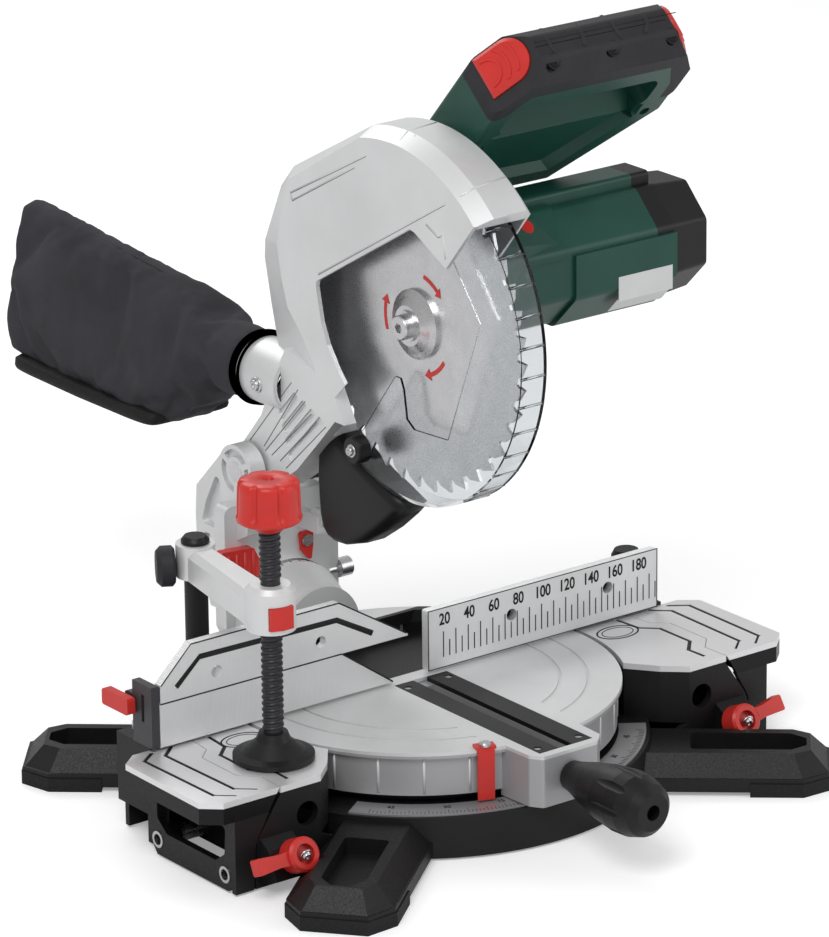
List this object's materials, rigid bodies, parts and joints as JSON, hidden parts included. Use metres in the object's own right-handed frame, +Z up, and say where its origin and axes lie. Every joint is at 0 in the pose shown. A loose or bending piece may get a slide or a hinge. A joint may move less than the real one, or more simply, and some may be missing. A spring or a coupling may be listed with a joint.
{
  "type": "mitre saw",
  "caption": "Compound mitre saw with tilting 216 mm blade head, turntable, ruled fences, sliding side extensions, work clamp and dust bag.",
  "frame": {"origin": "centre of the four bench bolt holes, on the bench surface", "axes": "+Z up, +X to the operator's right along the fence, operator and mitre handle at -Y"},
  "size_m": [0.4626, 0.6502, 0.4893],
  "materials": {
    "black_casting": "satin",
    "bare_aluminium": "satin",
    "steel": "satin",
    "black_plastic": "matte",
    "green_plastic": "satin",
    "red_plastic": "satin",
    "rubber": "matte",
    "clear_plastic": "gloss",
    "fabric": "matte",
    "silver_paint": "satin",
    "brass": "satin"
  },
  "bodies": {
    "base": {"base_casting": "black_casting", "rubber_feet": "rubber", "side_plates": "bare_aluminium", "mitre_scale": "bare_aluminium", "base_bolts": "steel", "right_fence": "bare_aluminium", "left_fence": "bare_aluminium", "clamp_post": "black_plastic"},
    "right_extension": {"right_extension_top": "bare_aluminium", "right_extension_frame": "black_plastic", "right_extension_rods": "steel"},
    "left_extension": {"left_extension_top": "bare_aluminium", "left_extension_frame": "black_plastic", "left_extension_rods": "steel"},
    "right_lever": {"right_lock_lever": "red_plastic"},
    "left_lever": {"left_lock_lever": "red_plastic"},
    "upper_fence": {"sliding_fence": "bare_aluminium", "fence_end_bracket": "black_casting"},
    "fence_lock": {"fence_lock_handle": "red_plastic"},
    "table": {"turntable": "bare_aluminium", "kerf_inserts": "black_plastic", "table_fasteners": "steel", "mitre_pointer": "red_plastic"},
    "mitre_handle": {"mitre_grip": "black_plastic"},
    "bevel_frame": {"bevel_bracket": "silver_paint", "head_pivot_shaft": "steel", "return_spring": "steel", "bevel_pointer": "red_plastic", "bracket_pins": "steel"},
    "bevel_lever": {"bevel_lock_lever": "red_plastic"},
    "stop_bolt": {"bevel_stop_bolt": "steel"},
    "saw_head": {"head_casting": "silver_paint", "head_bearings": "brass", "motor_housing": "green_plastic", "motor_end_cap": "black_plastic", "stator": "steel", "deflector": "black_plastic", "handle_front_shell": "green_plastic", "handle_rear_shell": "green_plastic", "handle_grip": "black_plastic", "dust_bag": "fabric"},
    "blade": {"saw_blade": "steel", "arbor": "steel", "outer_flange": "steel", "blade_bolt": "steel", "driven_gear": "steel"},
    "motor_rotor": {"armature": "steel"},
    "blade_guard": {"lower_guard": "clear_plastic", "guard_roller": "black_plastic"},
    "link_arm": {"guard_link": "steel"},
    "switch_trigger": {"trigger": "black_plastic"},
    "left_lock_button": {"lock_off_left": "red_plastic"},
    "right_lock_button": {"lock_off_right": "red_plastic"},
    "spindle_button": {"spindle_lock": "red_plastic"},
    "clamp_swing": {"clamp_arm": "silver_paint"},
    "clamp_catch": {"clamp_release": "red_plastic"},
    "arm_screw": {"clamp_arm_knob": "black_plastic"},
    "clamp_foot": {"clamp_pad": "black_plastic"},
    "clamp_screw": {"clamp_spindle": "black_plastic", "clamp_knob": "red_plastic"}
  },
  "joints": [
    {"name": "mitre", "type": "hinge", "parent": "base", "child": "table", "pos_m": [0, 0.008, 0.064], "axis": [0, 0, -1], "range_deg": [-45, 45]},
    {"name": "bevel", "type": "hinge", "parent": "table", "child": "bevel_frame", "pos_m": [0, 0.155, 0.064], "axis": [0, -1, 0], "range_deg": [0, 28]},
    {"name": "head_chop", "type": "hinge", "parent": "bevel_frame", "child": "saw_head", "pos_m": [0, 0.155, 0.171], "axis": [1, 0, 0], "range_deg": [0, 42], "stiffness_Nm_per_rad": 14, "springref_deg": -68.75},
    {"name": "guard_swing", "type": "hinge", "parent": "saw_head", "child": "blade_guard", "pos_m": [0, 0.0042, 0.302], "axis": [1, 0, 0], "range_deg": [-124, 0]},
    {"name": "link_swing", "type": "hinge", "parent": "bevel_frame", "child": "link_arm", "pos_m": [0, 0.127, 0.137], "axis": [1, 0, 0], "range_deg": [0, 45.5]},
    {"name": "blade_spin", "type": "hinge", "parent": "saw_head", "child": "blade", "pos_m": [0, 0.0042, 0.302], "axis": [1, 0, 0], "continuous": true},
    {"name": "rotor_spin", "type": "hinge", "parent": "saw_head", "child": "motor_rotor", "pos_m": [0, -0.0008, 0.327], "axis": [1, 0, 0], "continuous": true},
    {"name": "trigger_pull", "type": "slide", "parent": "saw_head", "child": "switch_trigger", "axis": [0, -0.6691, 0.7431], "range_m": [0, 0.005], "stiffness_N_per_m": 600, "springref_m": -0.003},
    {"name": "left_lock_press", "type": "slide", "parent": "saw_head", "child": "left_lock_button", "axis": [0.8213, 0.3817, -0.4239], "range_m": [0, 0.0025], "stiffness_N_per_m": 800, "springref_m": -0.002},
    {"name": "right_lock_press", "type": "slide", "parent": "saw_head", "child": "right_lock_button", "axis": [-0.8213, 0.3817, -0.4239], "range_m": [0, 0.0025], "stiffness_N_per_m": 800, "springref_m": -0.002},
    {"name": "spindle_lock_press", "type": "slide", "parent": "saw_head", "child": "spindle_button", "axis": [0, 0.613, -0.7901], "range_m": [0, 0.0025], "stiffness_N_per_m": 800, "springref_m": -0.002},
    {"name": "right_extension_slide", "type": "slide", "parent": "base", "child": "right_extension", "axis": [1, 0, 0], "range_m": [0, 0.06]},
    {"name": "left_extension_slide", "type": "slide", "parent": "base", "child": "left_extension", "axis": [-1, 0, 0], "range_m": [0, 0.06]},
    {"name": "right_lever_turn", "type": "hinge", "parent": "base", "child": "right_lever", "pos_m": [0.176, -0.1085, 0.027], "axis": [0, 0.9135, -0.4067], "range_deg": [-40, 40]},
    {"name": "left_lever_turn", "type": "hinge", "parent": "base", "child": "left_lever", "pos_m": [-0.176, -0.1085, 0.027], "axis": [0, 0.9135, -0.4067], "range_deg": [-40, 40]},
    {"name": "fence_slide", "type": "slide", "parent": "base", "child": "upper_fence", "axis": [-1, 0, 0], "range_m": [0, 0.05]},
    {"name": "fence_lock_turn", "type": "hinge", "parent": "upper_fence", "child": "fence_lock", "pos_m": [-0.2, 0.0315, 0.091], "axis": [1, 0, 0], "range_deg": [0, 60]},
    {"name": "mitre_handle_turn", "type": "hinge", "parent": "table", "child": "mitre_handle", "pos_m": [-0.001, -0.149, 0.047], "axis": [0, 1, 0], "range_deg": [-90, 90]},
    {"name": "bevel_lever_turn", "type": "hinge", "parent": "bevel_frame", "child": "bevel_lever", "pos_m": [-0.042, 0.1543, 0.095], "axis": [0, -1, 0], "range_deg": [0, 35]},
    {"name": "stop_bolt_turn", "type": "hinge", "parent": "bevel_frame", "child": "stop_bolt", "pos_m": [0.038, 0.1598, 0.084], "axis": [1, 0, 0], "range_deg": [-180, 180]},
    {"name": "clamp_arm_swing", "type": "hinge", "parent": "base", "child": "clamp_swing", "pos_m": [-0.135, 0.06, 0.161], "axis": [0, 0, -1], "range_deg": [-20, 30]},
    {"name": "clamp_catch_press", "type": "slide", "parent": "clamp_swing", "child": "clamp_catch", "axis": [0.169, 0.9856, 0], "range_m": [0, 0.002], "stiffness_N_per_m": 800, "springref_m": -0.002},
    {"name": "arm_screw_turn", "type": "hinge", "parent": "clamp_swing", "child": "arm_screw", "pos_m": [-0.135, 0.06, 0.157], "axis": [-0.8658, 0.5004, 0], "range_deg": [-90, 90]},
    {"name": "clamp_lift", "type": "slide", "parent": "clamp_swing", "child": "clamp_foot", "axis": [0, 0, 1], "range_m": [0, 0.05]},
    {"name": "clamp_screw_turn", "type": "hinge", "parent": "clamp_foot", "child": "clamp_screw", "pos_m": [-0.153, -0.045, 0.084], "axis": [0, 0, 1], "range_deg": [0, 4500]}
  ],
  "couplings": [
    {"joint": "guard_swing", "follows": "head_chop", "ratio": -2.95},
    {"joint": "link_swing", "follows": "head_chop", "ratio": 1.08},
    {"joint": "rotor_spin", "follows": "blade_spin", "ratio": -3.25},
    {"joint": "clamp_screw_turn", "follows": "clamp_lift", "rad_per_m": 1570.8}
  ]
}
